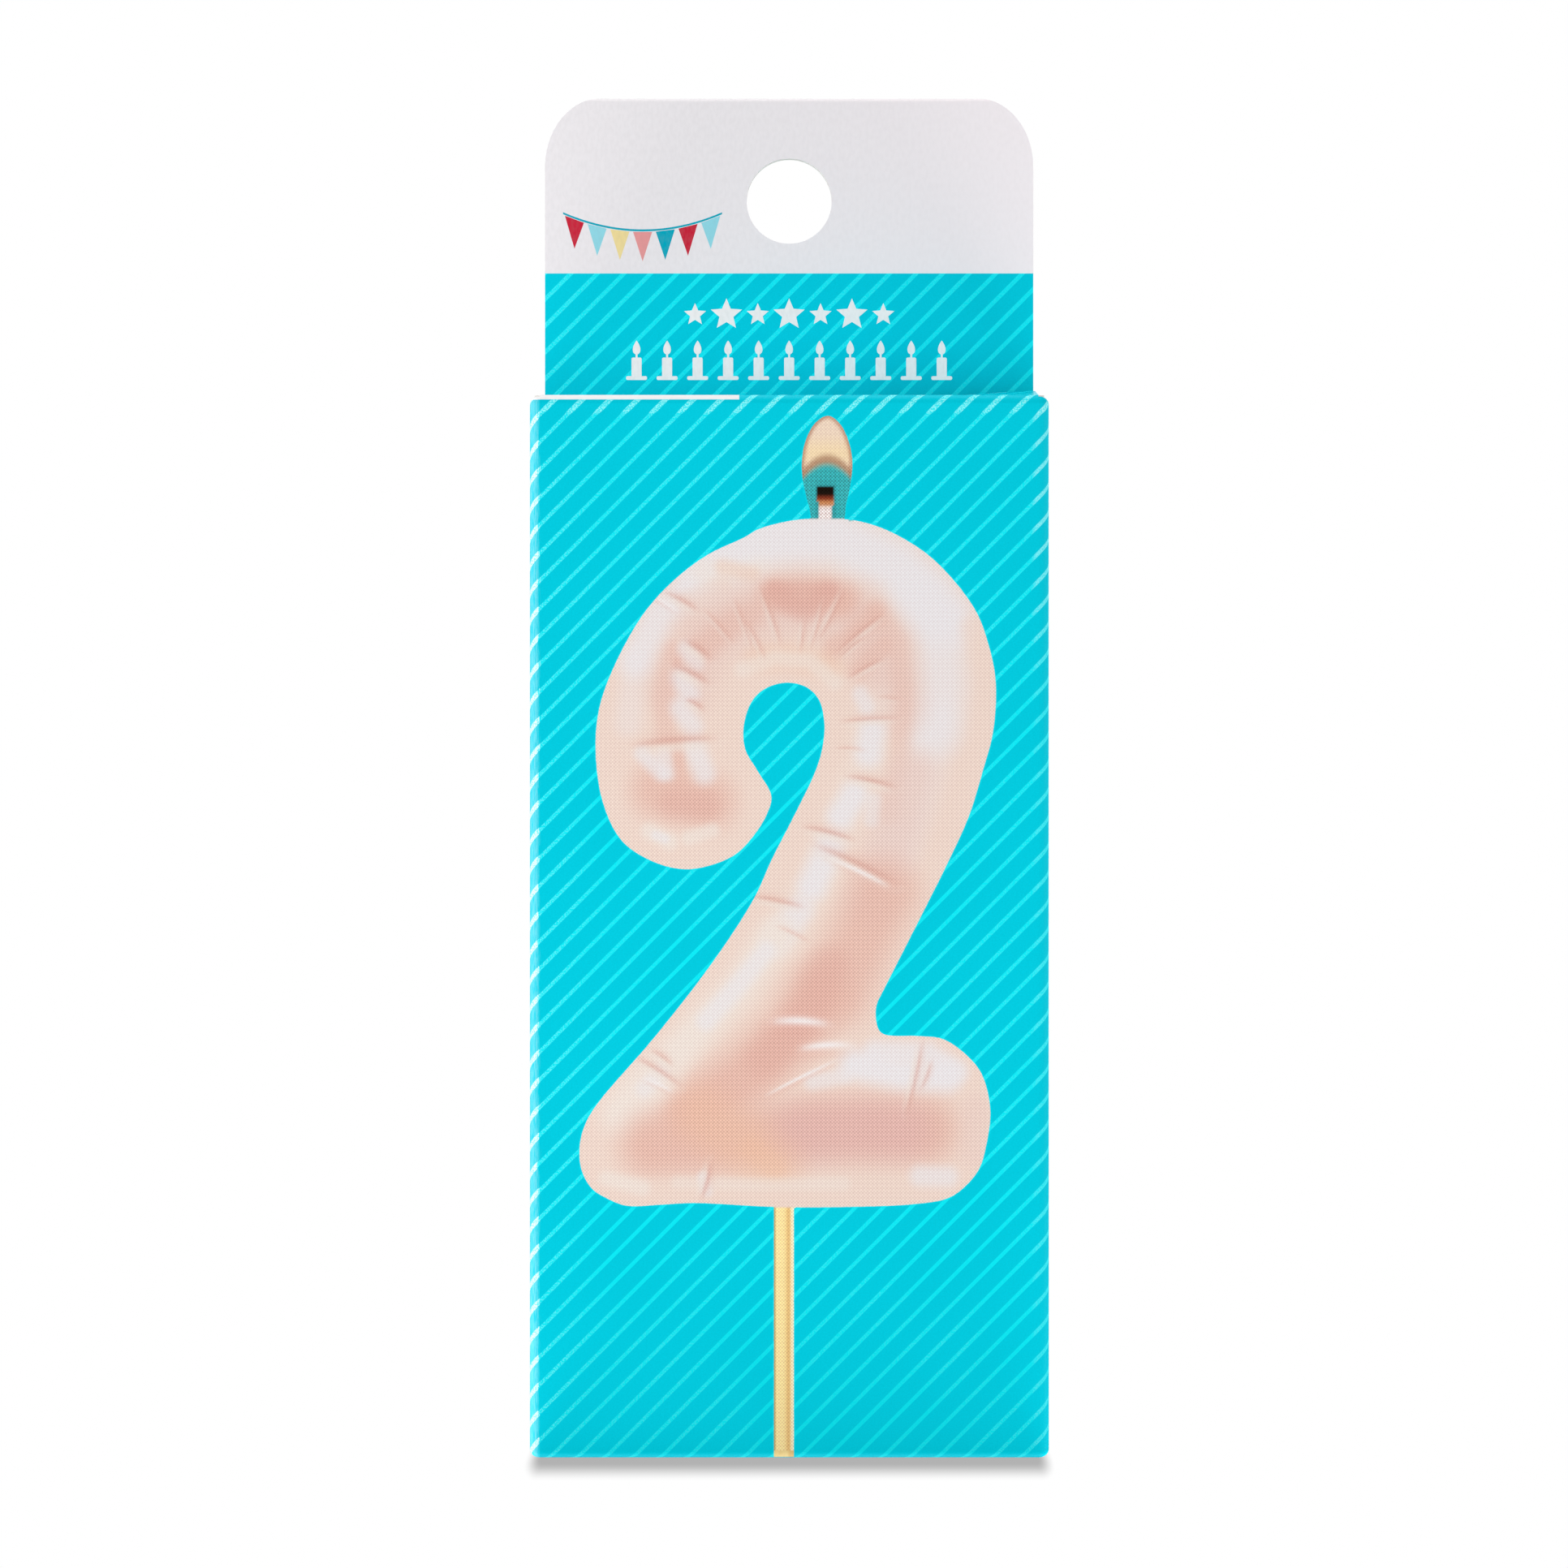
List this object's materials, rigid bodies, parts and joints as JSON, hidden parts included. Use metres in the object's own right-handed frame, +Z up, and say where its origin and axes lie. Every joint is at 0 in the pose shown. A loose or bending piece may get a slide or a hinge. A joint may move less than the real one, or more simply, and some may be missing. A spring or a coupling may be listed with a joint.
{
  "type": "boxed number birthday candle",
  "caption": "Balloon-shaped numeral 2 birthday candle on a wooden stick, inside an upright printed folding carton with tuck lids and a round-holed hang tab.",
  "frame": {"origin": "middle of the carton's footprint, on the surface it stands on", "axes": "+X across the front to the right as seen from the front, +Y from the front panel to the back panel, +Z up along the carton and the hang tab"},
  "size_m": [0.058, 0.02, 0.155],
  "materials": {
    "printed_board": "semi-gloss coated cyan print with thin lighter stripes",
    "plain_board": "uncoated white inside of the board",
    "glue": "dried clear glue film",
    "pearl_wax": "pearlescent pale pink wax",
    "cotton_wick": "waxed braided cotton",
    "stick_wood": "bare pale wood"
  },
  "bodies": {
    "carton": {"front_panel": "printed_board", "left_side_panel": "printed_board", "right_side_panel": "printed_board", "back_panel": "printed_board", "glue_flap": "plain_board", "seam_glue": "glue", "hang_tab_front_ply": "printed_board", "hang_tab_glue": "glue"},
    "candle": {"wax_numeral": "pearl_wax", "wick": "cotton_wick", "wooden_stick": "stick_wood"},
    "top_lid": {"top_lid": "printed_board"},
    "top_tuck_flap": {"top_tuck_flap": "printed_board"},
    "top_left_dust_flap": {"top_left_dust_flap": "plain_board"},
    "top_right_dust_flap": {"top_right_dust_flap": "plain_board"},
    "bottom_lid": {"bottom_lid": "printed_board"},
    "bottom_tuck_flap": {"bottom_tuck_flap": "printed_board"},
    "bottom_left_dust_flap": {"bottom_left_dust_flap": "plain_board"},
    "bottom_right_dust_flap": {"bottom_right_dust_flap": "plain_board"}
  },
  "joints": [
    {"name": "candle_lift", "type": "slide", "parent": "carton", "child": "candle", "axis": [0, 0, 1], "range_m": [0, 0.052]},
    {"name": "top_lid_hinge", "type": "hinge", "parent": "carton", "child": "top_lid", "pos_m": [0, -0.01, 0.1185], "axis": [1, 0, 0], "range_deg": [0, 175]},
    {"name": "top_tuck_crease", "type": "hinge", "parent": "top_lid", "child": "top_tuck_flap", "pos_m": [0, 0.0084, 0.1185], "axis": [1, 0, 0], "range_deg": [0, 48]},
    {"name": "top_left_dust_hinge", "type": "hinge", "parent": "carton", "child": "top_left_dust_flap", "pos_m": [-0.029, 0, 0.1179], "axis": [0, -1, 0], "range_deg": [0, 88]},
    {"name": "top_right_dust_hinge", "type": "hinge", "parent": "carton", "child": "top_right_dust_flap", "pos_m": [0.029, 0, 0.1179], "axis": [0, 1, 0], "range_deg": [0, 88]},
    {"name": "bottom_lid_hinge", "type": "hinge", "parent": "carton", "child": "bottom_lid", "pos_m": [0, -0.01, 0], "axis": [-1, 0, 0], "range_deg": [0, 174]},
    {"name": "bottom_tuck_crease", "type": "hinge", "parent": "bottom_lid", "child": "bottom_tuck_flap", "pos_m": [0, 0.0084, 0], "axis": [-1, 0, 0], "range_deg": [0, 48]},
    {"name": "bottom_left_dust_hinge", "type": "hinge", "parent": "carton", "child": "bottom_left_dust_flap", "pos_m": [-0.029, 0, 0.0006], "axis": [0, 1, 0], "range_deg": [0, 88]},
    {"name": "bottom_right_dust_hinge", "type": "hinge", "parent": "carton", "child": "bottom_right_dust_flap", "pos_m": [0.029, 0, 0.0006], "axis": [0, -1, 0], "range_deg": [0, 88]}
  ],
  "couplings": [
    {"joint": "top_lid_hinge", "follows": "candle_lift", "rad_per_m": 58.401},
    {"joint": "top_tuck_crease", "follows": "candle_lift", "rad_per_m": 15.768},
    {"joint": "top_left_dust_hinge", "follows": "candle_lift", "rad_per_m": 29.201},
    {"joint": "top_right_dust_hinge", "follows": "candle_lift", "rad_per_m": 29.201},
    {"joint": "bottom_tuck_crease", "follows": "bottom_lid_hinge", "ratio": 0.27},
    {"joint": "bottom_left_dust_hinge", "follows": "bottom_lid_hinge", "ratio": 0.5},
    {"joint": "bottom_right_dust_hinge", "follows": "bottom_lid_hinge", "ratio": 0.5}
  ]
}
